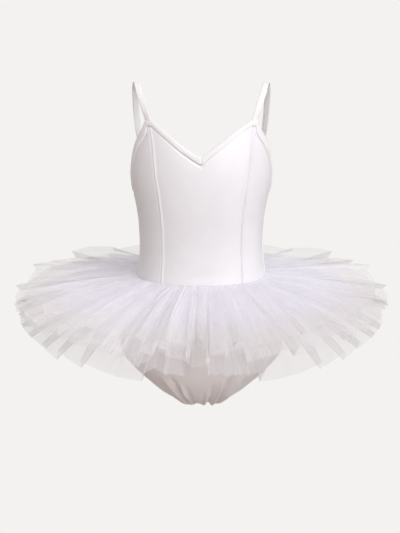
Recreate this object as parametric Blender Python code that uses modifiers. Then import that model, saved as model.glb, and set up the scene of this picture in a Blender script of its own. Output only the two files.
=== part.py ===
"""A child's ballet tutu leotard, standing open as it is worn, with nobody in it.

Millimetres in the tables, metres in the mesh. The origin is midway between the tops of the two shoulder
straps, +Z is up and the front faces -Y. Left and right are the wearer's, so left is +X.

Every bodice piece is a region of one body form. A place on the form is a lane and a height:
lane 0 is the centre front, 1 the princess seam, 2 the side seam and 4 the centre back.
"""

import math
from collections import namedtuple

import bpy

MM = 0.001

# Cloth and seams
BODY_CLOTH = 1.2
BINDING_CLOTH = 1.7
STRAP_CLOTH = 1.8
NET_CLOTH = 1.0
SEAM_GAP = 0.3
BINDING_WIDTH = 8.0
BINDING_PROUD = 0.25
STRAP_WIDTH = 9.0

# Landmarks, as heights below the shoulder line
NECK_POINT = -98.0
STRAP_CORNER = -50.0
WAIST = -287.5

# Lanes of the landmarks
PRINCESS, SIDE, CENTRE_BACK = 1.0, 2.0, 4.0
FRONT_CORNER_FROM = 0.94
BACK_CORNER = 2.61
NECK_CURVE = 1.3
ROUNDNESS = 2.25
LANE_STEP = 0.02
STEEPEST = 1.7

Section = namedtuple("Section", "height half_width front back princess")
FORM = (
    Section(-40, 97.5, 56, 66, 79.0),
    Section(-70, 101.5, 66, 70, 72.8),
    Section(-100, 104.4, 73, 73, 69.5),
    Section(-126, 104.8, 76, 74, 67.3),
    Section(-150, 102.0, 77, 73, 63.5),
    Section(-180, 95.8, 76, 70, 60.0),
    Section(-212, 91.8, 73, 67, 57.5),
    Section(-243, 90.8, 71.5, 66, 57.2),
    Section(-269, 93.0, 72, 67.5, 58.3),
    Section(-287.5, 95.5, 73.5, 70, 59.5),
)

Edge = namedtuple("Edge", "lane height")
ARMHOLE_AND_BACK = (
    Edge(1.00, -50),
    Edge(1.06, -50),
    Edge(1.25, -61),
    Edge(1.48, -79),
    Edge(1.65, -102),
    Edge(1.75, -122),
    Edge(1.86, -141),
    Edge(2.00, -152),
    Edge(2.15, -150),
    Edge(2.30, -140),
    Edge(2.45, -123),
    Edge(2.56, -108),
    Edge(2.66, -108.5),
    Edge(2.85, -124),
    Edge(3.10, -142),
    Edge(3.50, -159),
    Edge(4.00, -165),
)

# Sections of the brief from the waist to the crotch seam. wrap is how far a section follows
# the round of the hip (1) and how far it is a plain arch between the leg openings (0).
Brief = namedtuple("Brief", "depth height edge_x edge_depth edge_height wrap")
BRIEF_FRONT = (
    Brief(73.5, -287.5, 95.5, 0, -287.5, 1.0),
    Brief(77.5, -318, 107, 0, -318, 1.0),
    Brief(80.5, -350, 117, 0, -350, 1.0),
    Brief(82, -382, 122.5, 0, -380, 1.0),
    Brief(80.5, -406, 121, 14, -398, 0.85),
    Brief(77, -427, 104, 36, -417, 0.55),
    Brief(70, -446, 82, 45, -436, 0.3),
    Brief(58, -464, 60, 46, -455, 0.15),
    Brief(42, -477, 41, 38, -470, 0.0),
    Brief(24, -487, 30, 23, -483, 0.0),
    Brief(6, -490.5, 26, 6, -488, 0.0),
    Brief(0, -490.5, 26, 0, -488, 0.0),
)
BRIEF_BACK = (
    Brief(70, -287.5, 95.5, 0, -287.5, 1.0),
    Brief(80, -318, 107, 0, -318, 1.0),
    Brief(88, -350, 117, 0, -350, 1.0),
    Brief(92, -382, 122.5, 0, -380, 1.0),
    Brief(91, -408, 122, 20, -399, 0.85),
    Brief(86, -432, 111, 44, -418, 0.6),
    Brief(75, -454, 94, 54, -438, 0.4),
    Brief(58, -472, 73, 52, -457, 0.2),
    Brief(38, -483, 51, 38, -472, 0.0),
    Brief(20, -488, 34, 19, -484, 0.0),
    Brief(6, -490.5, 26, 6, -488, 0.0),
    Brief(0, -490.5, 26, 0, -488, 0.0),
)

# Where the panels and the brief have their mesh lines, closest at the seams
NECK_LANES = (0, 0.16, 0.34, 0.54, 0.75, FRONT_CORNER_FROM, PRINCESS)
FRONT_ARMHOLE_LANES = (PRINCESS, 1.06, 1.25, 1.45, 1.6, 1.72, 1.84, 1.94, SIDE)
BACK_ARMHOLE_LANES = (SIDE, 2.08, 2.2, 2.35, 2.47, 2.56, BACK_CORNER)
BACK_NECK_LANES = (BACK_CORNER, 2.66, 2.74, 2.84, 3.0, 3.3, 3.65, CENTRE_BACK)
FRONT_ROWS = 7
BACK_ROWS = 5
BRIEF_SHARES = (0, 0.2, 0.4, 0.6, 0.8, 0.95, 1.0)

# The left strap from the front corner, over the shoulder and down to the back corner
STRAP_END = 4.0
STRAP_OUTWARD_TWIST = 0.9
Bend = namedtuple("Bend", "x y z")
STRAP_ROUTE = (
    Bend(80.5, -36, -38),
    Bend(85.0, -29, -25),
    Bend(89.5, -20, -12.5),
    Bend(92.3, -10, -3.8),
    Bend(94.2, 0, -0.9),
    Bend(96.0, 11, -5),
    Bend(97.0, 19, -18),
    Bend(96.8, 26, -36),
    Bend(95.5, 33, -60),
    Bend(93.0, 38.5, -82),
)

# Net layers from the top one down: cut length, how far the hem hangs below the gathered edge,
# and the height of that edge above the waist seam
Net = namedtuple("Net", "length side_drop front_drop back_drop heading")
NET_LAYERS = (
    Net(173, 13, 40, 8, 0.5),
    Net(187, 26, 52, 20, -1.7),
    Net(180, 40, 63, 32, -3.9),
    Net(186, 55, 76, 45, -6.1),
)
PLEATS = 20
PLEAT_HEIGHT = 8.0
PLEAT_SHAPE = (0.0, 1.0, 0.0, -1.0)
NET_RINGS = 4
NET_SAG = 1.5

COLOURS = {
    "bodice": (0.90, 0.89, 0.90, 1),
    "binding": (0.93, 0.93, 0.94, 1),
    "net": (0.90, 0.89, 0.93, 1),
}


def clear_scene():
    for item in list(bpy.data.objects):
        bpy.data.objects.remove(item)


def cloth_material(name, roughness):
    material = bpy.data.materials.new(name)
    material.use_nodes = True
    shader = material.node_tree.nodes["Principled BSDF"]
    shader.inputs["Base Color"].default_value = COLOURS[name]
    shader.inputs["Roughness"].default_value = roughness
    shader.inputs["Metallic"].default_value = 0.0
    return material


def smooth(knots, values, at):
    """A smooth curve through the values at rising or falling knots."""
    if knots[0] > knots[-1]:
        knots, values = knots[::-1], values[::-1]
    last = len(knots) - 1
    at = min(max(at, knots[0]), knots[-1])
    k = max(i for i in range(last) if knots[i] <= at)
    span = knots[k + 1] - knots[k]
    rise = (values[k + 1] - values[k]) / span

    def slope(i):
        if i in (0, last):
            return rise
        before = (values[i] - values[i - 1]) / (knots[i] - knots[i - 1])
        after = (values[i + 1] - values[i]) / (knots[i + 1] - knots[i])
        return 0.0 if before * after <= 0 else 2 * before * after / (before + after)

    t = (at - knots[k]) / span
    start, end = slope(k) * span, slope(k + 1) * span
    return (
        values[k] * (1 + 2 * t) * (1 - t) ** 2
        + start * t * (1 - t) ** 2
        + values[k + 1] * t * t * (3 - 2 * t)
        - end * t * t * (1 - t)
    )


def column(table, name):
    return [getattr(row, name) for row in table]


def form(name, height):
    return smooth(column(FORM, "height"), column(FORM, name), height)


def princess_turn(height):
    """The angle round from the centre front at which the princess seam lies."""
    half_width, depth, x = (form(n, height) for n in ("half_width", "front", "princess"))
    y = depth * (1 - (x / half_width) ** ROUNDNESS) ** (1 / ROUNDNESS)
    return math.atan2(x, y)


def turn_of(lane, height):
    side = math.pi / 2
    size = abs(lane)
    if size <= PRINCESS:
        turn = size * princess_turn(height)
    elif size <= SIDE:
        seam = princess_turn(height)
        turn = seam + (size - PRINCESS) * (side - seam)
    else:
        turn = side + (size - SIDE) / (CENTRE_BACK - SIDE) * side
    return math.copysign(turn, lane)


def oval(turn, half_width, depth):
    """How far out the body's rounded outline lies at an angle from the centre front."""
    wide = (abs(math.sin(turn)) / half_width) ** ROUNDNESS
    deep = (abs(math.cos(turn)) / depth) ** ROUNDNESS
    return (wide + deep) ** (-1 / ROUNDNESS)


def on_form(lane, height, proud=0.0):
    """The point of the body form at a lane and a height, moved out by proud."""
    turn = turn_of(lane, height)
    depth = form("front" if math.cos(turn) > 0 else "back", height)
    reach = oval(turn, form("half_width", height), depth) + proud
    return (reach * math.sin(turn), -reach * math.cos(turn), height)


def top_edge(lane):
    """The height of the garment's bound top edge at a lane."""
    size = min(abs(lane), 2 * CENTRE_BACK - abs(lane))
    if size < PRINCESS:
        share = min(size / FRONT_CORNER_FROM, 1.0)
        return NECK_POINT + (STRAP_CORNER - NECK_POINT) * share**NECK_CURVE
    return smooth(column(ARMHOLE_AND_BACK, "lane"), column(ARMHOLE_AND_BACK, "height"), size)


def under_binding(lane):
    """The height, at a lane, of the curve one binding's width inside the top edge."""
    before = lane - LANE_STEP if lane else 0.0
    behind, ahead = (on_form(q, top_edge(q)) for q in (before, lane + LANE_STEP))
    slope = abs(ahead[2] - behind[2]) / math.dist(ahead[:2], behind[:2])
    return top_edge(lane) - BINDING_WIDTH * math.hypot(1, min(slope, STEEPEST))


def inset(rows, gap, around=False):
    """The rows of points with their outer edges moved inwards by gap, square to each edge."""

    def moved(point, inner, before, after):
        edge = [a - b for a, b in zip(after, before)]
        across = [a - b for a, b in zip(inner, point)]
        long, wide = math.hypot(*edge), math.hypot(*across)
        along = sum(a * b for a, b in zip(edge, across)) / (long * wide)
        share = gap / math.sqrt(max(1 - along * along, 0.04)) / wide
        return tuple(p + share * a for p, a in zip(point, across))

    last_row, last = len(rows) - 1, len(rows[0]) - 1
    made = [list(row) for row in rows]
    for i, inner in ((0, 1), (last_row, last_row - 1)):
        for j in range(last + 1):
            before, after = rows[i][max(j - 1, 0)], rows[i][min(j + 1, last)]
            made[i][j] = moved(rows[i][j], rows[inner][j], before, after)
    if around:
        return made
    sides = [list(row) for row in made]
    for j, inner in ((0, 1), (last, last - 1)):
        for i in range(last_row + 1):
            before, after = made[max(i - 1, 0)][j], made[min(i + 1, last_row)][j]
            sides[i][j] = moved(made[i][j], made[i][inner], before, after)
    return sides


def cloth(name, rows, thickness, material, around=False):
    """A wall of cloth whose outer face passes through the rows of points."""
    columns = len(rows[0])
    points = [tuple(MM * value for value in point) for row in rows for point in row]
    faces = []
    for i in range(len(rows) - 1):
        for j in range(columns if around else columns - 1):
            k = (j + 1) % columns
            upper, lower = i * columns, (i + 1) * columns
            faces.append((upper + j, lower + j, lower + k, upper + k))
    mesh = bpy.data.meshes.new(name)
    mesh.from_pydata(points, [], faces)
    mesh.shade_smooth()
    mesh.materials.append(material)
    piece = bpy.data.objects.new(name, mesh)
    garment.objects.link(piece)
    wall = piece.modifiers.new("wall", "SOLIDIFY")
    wall.thickness = thickness * MM
    wall.offset = -1
    return piece


def region(lanes, upper, lower, row_count, proud=0.0):
    """Rows of points on the form, down from the upper curve to the lower one."""
    rows = []
    for i in range(row_count + 1):
        share = i / row_count
        rows.append(
            [on_form(q, upper(q) + share * (lower(q) - upper(q)), proud) for q in lanes]
        )
    return inset(rows, SEAM_GAP / 2)


def waist(lane):
    return WAIST


def mirrored(lanes):
    """Lanes from the centre outwards, continued on the other side of the centre."""
    return [-q for q in reversed(lanes) if q] + list(lanes)


def round_the_back(lanes):
    """Lanes from one side towards the centre back, continued to the other side."""
    return list(lanes) + [2 * CENTRE_BACK - q for q in reversed(lanes) if q != CENTRE_BACK]


def make_bodice(material):
    cloth(
        "front_centre_panel",
        region(mirrored(NECK_LANES), under_binding, waist, FRONT_ROWS),
        BODY_CLOTH,
        material,
    )
    for side, sign in (("left", 1), ("right", -1)):
        lanes = sorted(sign * q for q in FRONT_ARMHOLE_LANES)
        rows = region(lanes, under_binding, waist, FRONT_ROWS)
        cloth(f"front_side_panel_{side}", rows, BODY_CLOTH, material)
    lanes = round_the_back(BACK_ARMHOLE_LANES + BACK_NECK_LANES[1:])
    cloth("back_panel", region(lanes, under_binding, waist, BACK_ROWS), BODY_CLOTH, material)


def make_bindings(material):
    def binding(name, lanes):
        rows = region(lanes, top_edge, under_binding, 1, BINDING_PROUD)
        cloth(name, rows, BINDING_CLOTH, material)

    armhole = FRONT_ARMHOLE_LANES + BACK_ARMHOLE_LANES[1:]
    for side, sign in (("left", 1), ("right", -1)):
        binding(f"neck_binding_{side}", sorted(sign * q for q in NECK_LANES))
        binding(f"armhole_binding_{side}", sorted(sign * q for q in armhole))
    binding("back_neck_binding", round_the_back(BACK_NECK_LANES))


def strap_rows():
    """Pairs of edge points along the left strap, from the front corner over to the back one."""

    def corner(lane, heights):
        ends = []
        for height in heights:
            here, beside = on_form(lane, height), on_form(lane + LANE_STEP, height)
            ends.append((here, [b - a for a, b in zip(here, beside)]))
        return ends

    back_edge = top_edge(BACK_CORNER)
    front = corner(PRINCESS, (STRAP_CORNER + SEAM_GAP, STRAP_CORNER + STRAP_END))
    back = corner(BACK_CORNER, (back_edge + STRAP_END, back_edge + SEAM_GAP))
    route = [front[0][0], front[1][0], *STRAP_ROUTE, back[0][0], back[1][0]]
    front_way, back_way = front[0][1], [-a for a in back[1][1]]
    rows = []
    for i, point in enumerate(route):
        share = i / (len(route) - 1)
        share = share * share * (3 - 2 * share)
        across = [(1 - share) * a + share * b for a, b in zip(front_way, back_way)]
        across[0] += STRAP_OUTWARD_TWIST * math.sin(math.pi * share)
        if 0 < i < len(route) - 1:
            run = [b - a for a, b in zip(route[i - 1], route[i + 1])]
            off = sum(a * b for a, b in zip(across, run)) / sum(a * a for a in run)
            across = [a - off * b for a, b in zip(across, run)]
        half = STRAP_WIDTH / 2 / math.hypot(*across)
        rows.append(
            [tuple(p + way * half * a for p, a in zip(point, across)) for way in (-1, 1)]
        )
    return rows


def make_straps(material):
    rows = strap_rows()
    for side, sign in (("left", 1), ("right", -1)):
        turned = [[(sign * x, y, z) for x, y, z in row[::sign]] for row in rows]
        cloth(f"strap_{side}", turned[::-1], STRAP_CLOTH, material)


def brief_point(section, share, facing):
    """A point of the brief at a share of the way from the centre to the edge."""
    size = abs(share)
    turn = size * math.pi / 2
    reach = oval(turn, section.edge_x, section.depth) if section.wrap else 0.0
    hip = (reach * math.sin(turn), reach * math.cos(turn))
    bow = size * size
    arch = (section.edge_x * size, section.depth + (section.edge_depth - section.depth) * bow)
    x, depth = (section.wrap * h + (1 - section.wrap) * a for h, a in zip(hip, arch))
    depth += section.wrap * section.edge_depth * bow
    height = section.height + (section.edge_height - section.height) * bow
    return (math.copysign(x, share), facing * depth, height)


def make_brief(name, table, facing, material):
    shares = mirrored(BRIEF_SHARES)[::-facing]
    rows = [[brief_point(section, share, facing) for share in shares] for section in table]
    cloth(name, inset(rows, SEAM_GAP / 2), BODY_CLOTH, material)


def net_point(layer, turn, share, lift=0.0):
    """A point of a net layer at a share of the way from the brief out to the hem."""
    upper, lower = (BRIEF_FRONT if math.cos(turn) > 0 else BRIEF_BACK)[:2]
    down = (NET_CLOTH - layer.heading) / (upper.height - lower.height)
    half_width = upper.edge_x + down * (lower.edge_x - upper.edge_x)
    depth = upper.depth + down * (lower.depth - upper.depth)
    reach = oval(turn, half_width, depth) + 2 * SEAM_GAP
    x, y = math.sin(turn), -math.cos(turn)
    out_x, out_y = x / half_width**2, y / depth**2
    size = math.hypot(out_x, out_y)
    drops = layer.front_drop if y < 0 else layer.back_drop
    drop = layer.side_drop + (drops - layer.side_drop) * y * y
    run = layer.length * (1 - 0.5 * (drop / layer.length) ** 2)
    return (
        reach * x + share * run * out_x / size,
        reach * y + share * run * out_y / size,
        WAIST + layer.heading - drop * share**NET_SAG + lift * share,
    )


def hem_turns(layer, count):
    """Angles round the waist that share out the hem evenly."""
    fine = 9 * count
    angles = [2 * math.pi * k / fine for k in range(fine + 1)]
    hem = [net_point(layer, angle, 1.0) for angle in angles]
    lengths = [0.0]
    for here, beyond in zip(hem, hem[1:]):
        lengths.append(lengths[-1] + math.dist(here, beyond))
    turns, k = [], 0
    for i in range(count):
        target = lengths[-1] * i / count
        while lengths[k + 1] < target:
            k += 1
        share = (target - lengths[k]) / (lengths[k + 1] - lengths[k])
        turns.append(angles[k] + share * (angles[k + 1] - angles[k]))
    return turns


def make_net(material):
    lifts = [PLEAT_HEIGHT * share for share in PLEAT_SHAPE] * PLEATS
    for number, layer in enumerate(NET_LAYERS, 1):
        turns = hem_turns(layer, len(lifts))
        rows = []
        for ring in range(NET_RINGS + 1):
            share = ring / NET_RINGS
            rows.append([net_point(layer, q, share, lift) for q, lift in zip(turns, lifts)])
        cloth(f"net_layer_{number}", rows, NET_CLOTH, material, around=True)


clear_scene()
garment = bpy.data.collections.new("ballet_tutu")
bpy.context.scene.collection.children.link(garment)
bodice_cloth = cloth_material("bodice", 0.4)
binding_cloth = cloth_material("binding", 0.4)
net_cloth = cloth_material("net", 0.8)
make_bodice(bodice_cloth)
make_bindings(binding_cloth)
make_straps(binding_cloth)
make_brief("brief_front", BRIEF_FRONT, -1, bodice_cloth)
make_brief("brief_back", BRIEF_BACK, 1, bodice_cloth)
make_net(net_cloth)
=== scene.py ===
import bisect
import math
import random

import bmesh
import bpy
from mathutils import Matrix, Vector, noise


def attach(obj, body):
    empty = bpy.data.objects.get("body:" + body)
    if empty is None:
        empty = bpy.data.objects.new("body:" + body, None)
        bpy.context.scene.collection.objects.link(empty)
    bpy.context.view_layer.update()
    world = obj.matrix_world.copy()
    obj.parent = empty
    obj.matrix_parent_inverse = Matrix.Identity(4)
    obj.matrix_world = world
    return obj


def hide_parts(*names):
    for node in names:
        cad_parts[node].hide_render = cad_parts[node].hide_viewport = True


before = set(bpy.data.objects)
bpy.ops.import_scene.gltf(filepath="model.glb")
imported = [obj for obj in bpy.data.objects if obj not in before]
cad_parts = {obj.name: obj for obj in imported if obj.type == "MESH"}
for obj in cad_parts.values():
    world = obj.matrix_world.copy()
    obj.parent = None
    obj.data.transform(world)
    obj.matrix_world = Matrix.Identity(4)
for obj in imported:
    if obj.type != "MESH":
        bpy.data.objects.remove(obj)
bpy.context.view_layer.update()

scene = bpy.context.scene
mm = 0.001  # the tables below are in millimetres, heights from the shoulder line
print("frame loaded:", len(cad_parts), "nodes")


# Node helpers. A value that is a socket is linked, and any other value is set.


def feed(node, values):
    for name, value in values.items():
        if isinstance(value, bpy.types.NodeSocket):
            node.id_data.links.new(value, node.inputs[name])
        else:
            node.inputs[name].default_value = value


def addNode(tree, kind, values=(), **settings):
    node = tree.nodes.new("ShaderNode" + kind)
    for name, value in settings.items():
        setattr(node, name, value)
    feed(node, dict(values))
    return node


def sums(tree, operation, *values):
    return addNode(tree, "Math", enumerate(values), operation=operation).outputs[0]


def mapRange(tree, value, low, high, toLow=0.0, toHigh=1.0, kind="SMOOTHSTEP"):
    ends = {"Value": value, "From Min": low, "From Max": high, "To Min": toLow, "To Max": toHigh}
    return addNode(tree, "MapRange", ends, interpolation_type=kind).outputs[0]


def mixColour(tree, share, first, second):
    ends = {"Factor": share, "A": first, "B": second}
    return addNode(tree, "Mix", ends, data_type="RGBA").outputs["Result"]


def cloudy(tree, place, scale, detail):
    values = {"Vector": place, "Scale": scale, "Detail": detail}
    return addNode(tree, "TexNoise", values).outputs["Fac"]


def bumpFrom(tree, height, strength, distance):
    values = {"Height": height, "Strength": strength, "Distance": distance * mm}
    return addNode(tree, "Bump", values).outputs[0]


def lightOrLook(tree, light, look):  # one shader for the light it throws, another for the camera
    path = addNode(tree, "LightPath")
    ways = {"Fac": path.outputs["Is Camera Ray"], 1: light.outputs[0], 2: look.outputs[0]}
    return addNode(tree, "MixShader", ways).outputs[0]


def newMaterial(name):
    material = bpy.data.materials.new(name)
    material.use_nodes = True
    return material, material.node_tree, material.node_tree.nodes["Principled BSDF"]


# Camera, floor and light, in metres

cameraSetup = {
    "place": (-0.002, -1.9406, 0.2078),
    "tilt": 76.0,  # degrees up from straight down
    "lens": 90.0,
    "sensor": 36.0,
    "farClip": 300.0,
}

studio = {
    "floorHeight": -1.6,
    "floorSize": 160.0,
    "floorColour": (0.458, 0.412, 0.38, 1.0),
    "paleWall": (0.896, 0.888, 0.871, 1.0),  # how the floor and what is beyond it look
    "rightFill": (0.30, 0.30, 0.325, 1.0),
    "leftFill": (0.425, 0.385, 0.345, 1.0),
    "backFill": (0.88, 0.87, 0.86, 1.0),  # the pale wall, which is bright behind the object
    "sunStrength": 2.41,
    "sunColour": (0.995, 0.985, 1.0),
    "sunAngle": 74.0,  # degrees across, so its shadows are soft
    "sunPlace": (2.0, -2.0, 3.0),
    "sunTilt": (54.0, 0.0, 30.0),
    "boxPlace": (1.5, -2.1, 0.35),
    "boxAim": (0.0, 0.0, -0.2),
    "boxSize": (0.6, 1.7),
    "boxPower": 1.7,
}


def makeCamera(setup):
    tilt = math.radians(setup["tilt"])
    bpy.ops.object.camera_add(location=setup["place"], rotation=(tilt, 0.0, 0.0))
    camera = bpy.context.object
    camera.name = "mainCamera"
    camera.data.lens = setup["lens"]
    camera.data.sensor_width = setup["sensor"]
    camera.data.clip_end = setup["farClip"]
    scene.camera = camera


def makeWorld(setup):
    world = bpy.data.worlds.new("softStudio")
    scene.world = world
    world.use_nodes = True
    tree = world.node_tree
    tree.nodes.clear()
    where = addNode(tree, "TexCoord")
    split = addNode(tree, "SeparateXYZ", {0: where.outputs["Generated"]})
    across = mapRange(tree, split.outputs["X"], -1.0, 1.0, kind="LINEAR")
    tint = mixColour(tree, across, setup["leftFill"], setup["rightFill"])
    tint = mixColour(tree, split.outputs["Y"], tint, setup["backFill"])
    fill = addNode(tree, "Background", {"Color": tint})
    wall = addNode(tree, "Background", {"Color": setup["paleWall"]})
    addNode(tree, "OutputWorld", {"Surface": lightOrLook(tree, fill, wall)})


def makeFloor(setup):
    place = (0.0, 0.0, setup["floorHeight"])
    bpy.ops.mesh.primitive_plane_add(size=setup["floorSize"], location=place)
    floor = bpy.context.object
    floor.name = "studioFloor"
    paint, tree, shader = newMaterial("palePaper")
    feed(shader, {"Base Color": setup["floorColour"], "Roughness": 1.0, "Specular IOR Level": 0.0})
    evenly = addNode(tree, "Emission", {"Color": setup["paleWall"]})
    feed(tree.nodes["Material Output"], {"Surface": lightOrLook(tree, shader, evenly)})
    floor.data.materials.append(paint)


def addLight(kind, name, place, turn, power):
    bpy.ops.object.light_add(type=kind, location=place, rotation=turn)
    bpy.context.object.name = name
    bpy.context.object.data.energy = power
    return bpy.context.object.data


def makeLights(setup):
    tilt = [math.radians(a) for a in setup["sunTilt"]]
    sun = addLight("SUN", "softKey", setup["sunPlace"], tilt, setup["sunStrength"])
    sun.angle = math.radians(setup["sunAngle"])
    sun.color = setup["sunColour"]
    place = Vector(setup["boxPlace"])
    aim = (place - Vector(setup["boxAim"])).to_track_quat("Z", "Y").to_euler()
    box = addLight("AREA", "tallSoftBox", place, aim, setup["boxPower"])
    box.shape = "RECTANGLE"
    box.size, box.size_y = setup["boxSize"]


makeCamera(cameraSetup)
makeWorld(studio)
makeFloor(studio)
makeLights(studio)
scene.view_settings.view_transform = "Standard"
scene.cycles.transparent_max_bounces = 64  # enough to pass every fold of the net
print("camera and studio ready")


# Materials


def newGroup(name, inputs, outputs):
    group = bpy.data.node_groups.new(name, "ShaderNodeTree")
    for way, sockets in (("INPUT", inputs), ("OUTPUT", outputs)):
        for label, kind in sockets.items():
            group.interface.new_socket(label, in_out=way, socket_type="NodeSocket" + kind)
    return group, group.nodes.new("NodeGroupInput").outputs, group.nodes.new("NodeGroupOutput")


knitPattern = {
    "courses": 1.3,  # how much closer the courses lie than the wales
    "courseRelief": 0.45,
    "softScale": 26.0,  # broad changes of shine
    "fuzzScale": 1400.0,  # single fibres
    "threadShare": 0.3,
    "shineShare": 0.7,
    "shinePolish": -0.07,
    "fuzzPolish": 0.06,
    "fuzzHeight": 0.5,
}


def makeKnitGroup(look):
    group, given, made = newGroup(
        "fineKnit",
        {"Place": "Vector", "Bright": "Color", "Dull": "Color", "Ribs": "Float", "Polish": "Float"},
        {"Colour": "Color", "Roughness": "Float", "Height": "Float"},
    )
    split = addNode(group, "SeparateXYZ", {0: given["Place"]})
    wale = sums(group, "SINE", sums(group, "MULTIPLY", split.outputs["X"], given["Ribs"]))
    rows = sums(group, "MULTIPLY", split.outputs["Y"], given["Ribs"])
    course = sums(group, "SINE", sums(group, "MULTIPLY_ADD", rows, look["courses"], wale))
    loops = sums(group, "MULTIPLY_ADD", course, look["courseRelief"], wale)
    thread = mapRange(group, loops, -1.2, 1.2, kind="LINEAR")
    shine = mapRange(group, cloudy(group, given["Place"], look["softScale"], 2.0), 0.3, 0.7)
    fuzz = cloudy(group, given["Place"], look["fuzzScale"], 2.0)
    share = sums(group, "MULTIPLY", shine, look["shineShare"])
    share = sums(group, "MULTIPLY_ADD", thread, look["threadShare"], share)
    rough = sums(group, "MULTIPLY_ADD", shine, look["shinePolish"], given["Polish"])
    feed(made, {
        "Colour": mixColour(group, share, given["Dull"], given["Bright"]),
        "Roughness": sums(group, "MULTIPLY_ADD", fuzz, look["fuzzPolish"], rough),
        "Height": sums(group, "MULTIPLY_ADD", fuzz, look["fuzzHeight"], thread),
    })
    return group


# Ranges in metres of cloth: from the nearest fold, or down from the heading
netPattern = {
    "slant": 0.8660254,  # the sine of 60 degrees
    "softness": 0.28,  # how gradually a thread begins
    "threadAlpha": 0.94,
    "creaseWidth": (0.0002, 0.0024),
    "streakScale": 100.0,  # bunched folds that run down from the seam
    "streakDraw": (1.0, 0.035, 1.0),
    "streakPart": (0.5, 0.68),
    "streakFade": (0.03, 0.15, 0.18, 0.03),
    "headingFade": (0.0, 0.05, 0.3, 0.0),
    "cloudScale": 34.0,
    # Over this range down the cloth the net turns to its Outer colour: painted shade, darker towards the hem
    # and lighter near the seam.
    "hemShadePart": (0.09, 0.175),
}


def makeNetGroup(look):
    group, given, made = newGroup(
        "hexNet",
        {
            "Place": "Vector", "Fold": "Float", "Cells": "Float", "Gap": "Float", "Crease": "Float",
            "Bright": "Color", "Dull": "Color", "Outer": "Color",
        },
        {"Alpha": "Float", "Colour": "Color", "Height": "Float"},
    )
    place = given["Place"]
    split = addNode(group, "SeparateXYZ", {0: place})
    along, out = split.outputs["X"], split.outputs["Y"]
    half = sums(group, "MULTIPLY", along, -0.5)
    slants = [sums(group, "MULTIPLY_ADD", out, way * look["slant"], half) for way in (-1, 1)]
    total = 0.0
    for wave in (*slants, along):
        turns = sums(group, "MULTIPLY", wave, given["Cells"])
        total = sums(group, "ADD", sums(group, "COSINE", turns), total)
    thread = sums(group, "SUBTRACT", given["Gap"], total)
    thread = mapRange(group, thread, -look["softness"], look["softness"])
    crease = mapRange(group, given["Fold"], *look["creaseWidth"], 1.0, 0.0)
    crease = sums(group, "MULTIPLY", crease, given["Crease"])
    drawn = addNode(group, "VectorMath", {0: place, 1: look["streakDraw"]}, operation="MULTIPLY")
    streak = cloudy(group, drawn.outputs[0], look["streakScale"], 1.5)
    streak = mapRange(group, streak, *look["streakPart"])
    streak = sums(group, "MULTIPLY", streak, mapRange(group, out, *look["streakFade"]))
    heading = mapRange(group, out, *look["headingFade"])
    dense = sums(group, "ADD", sums(group, "ADD", crease, heading), streak)
    bare = sums(group, "SUBTRACT", 1.0, thread)
    covered = sums(group, "MULTIPLY", thread, look["threadAlpha"])
    share = mapRange(group, cloudy(group, place, look["cloudScale"], 3.0), 0.3, 0.7)
    colour = mixColour(group, share, given["Dull"], given["Bright"])
    # Painted shade: the colour turns darker towards the hem, and the net near the seam is left lighter as if
    # lit through its dense folds.
    hemShade = mapRange(group, out, *look["hemShadePart"])
    feed(made, {
        "Alpha": sums(group, "MULTIPLY_ADD", bare, dense, covered),
        "Colour": mixColour(group, hemShade, colour, given["Outer"]),
        "Height": thread,
    })
    return group


def patterned(name, look, pattern, **values):  # the parts that every cloth shares
    material, tree, shader = newMaterial(name)
    values["Place"] = addNode(tree, "UVMap", uv_map="cloth").outputs[0]
    for label in ("Bright", "Dull", "Polish", "Outer", "Gap", "Crease"):
        if label in pattern.interface.items_tree:
            values[label] = look[label.lower()]
    cloth = addNode(tree, "Group", values, node_tree=pattern)
    feed(shader, {
        "Base Color": cloth.outputs["Colour"],
        "Normal": bumpFrom(tree, cloth.outputs["Height"], look["relief"], look["reliefDepth"]),
        "Specular IOR Level": look["gloss"],
    })
    return material, tree, shader, cloth


def clothMaterial(name, look):
    ribs = 2 * math.pi / (look["rib"] * mm)
    material, _, shader, cloth = patterned(name, look, fineKnit, Ribs=ribs)
    feed(shader, {
        "Roughness": cloth.outputs["Roughness"],
        "Sheen Weight": look["sheen"],
        "Sheen Roughness": look["sheenSpread"],
    })
    return material


def netMaterial(name, look):
    cells = 4 * math.pi / (math.sqrt(3) * look["cell"] * mm)
    material, tree, shader, cloth = patterned(name, look, hexNet, Cells=cells)
    feed(cloth, {"Fold": addNode(tree, "Attribute", attribute_name="fold").outputs["Fac"]})
    path = addNode(tree, "LightPath")  # light works its way through the threads
    passing = sums(tree, "MULTIPLY", path.outputs["Is Shadow Ray"], look["shadowPass"])
    passing = sums(tree, "MULTIPLY_ADD", path.outputs["Is Diffuse Ray"], look["bouncePass"], passing)
    alpha = sums(tree, "MULTIPLY", cloth.outputs["Alpha"], sums(tree, "SUBTRACT", 1.0, passing))
    feed(shader, {"Alpha": alpha, "Roughness": look["polish"]})
    return material


def threadMaterial(name, look):
    material, tree, shader = newMaterial(name)
    place = addNode(tree, "TexCoord").outputs["Object"]
    values = {"Vector": place, "Scale": look["twists"], "Distortion": 1.5}
    twist = addNode(tree, "TexWave", values, bands_direction="DIAGONAL").outputs["Fac"]
    feed(shader, {
        "Base Color": mixColour(tree, twist, look["dull"], look["bright"]),
        "Normal": bumpFrom(tree, twist, look["relief"], look["reliefDepth"]),
        "Roughness": look["polish"],
    })
    return material


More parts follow.
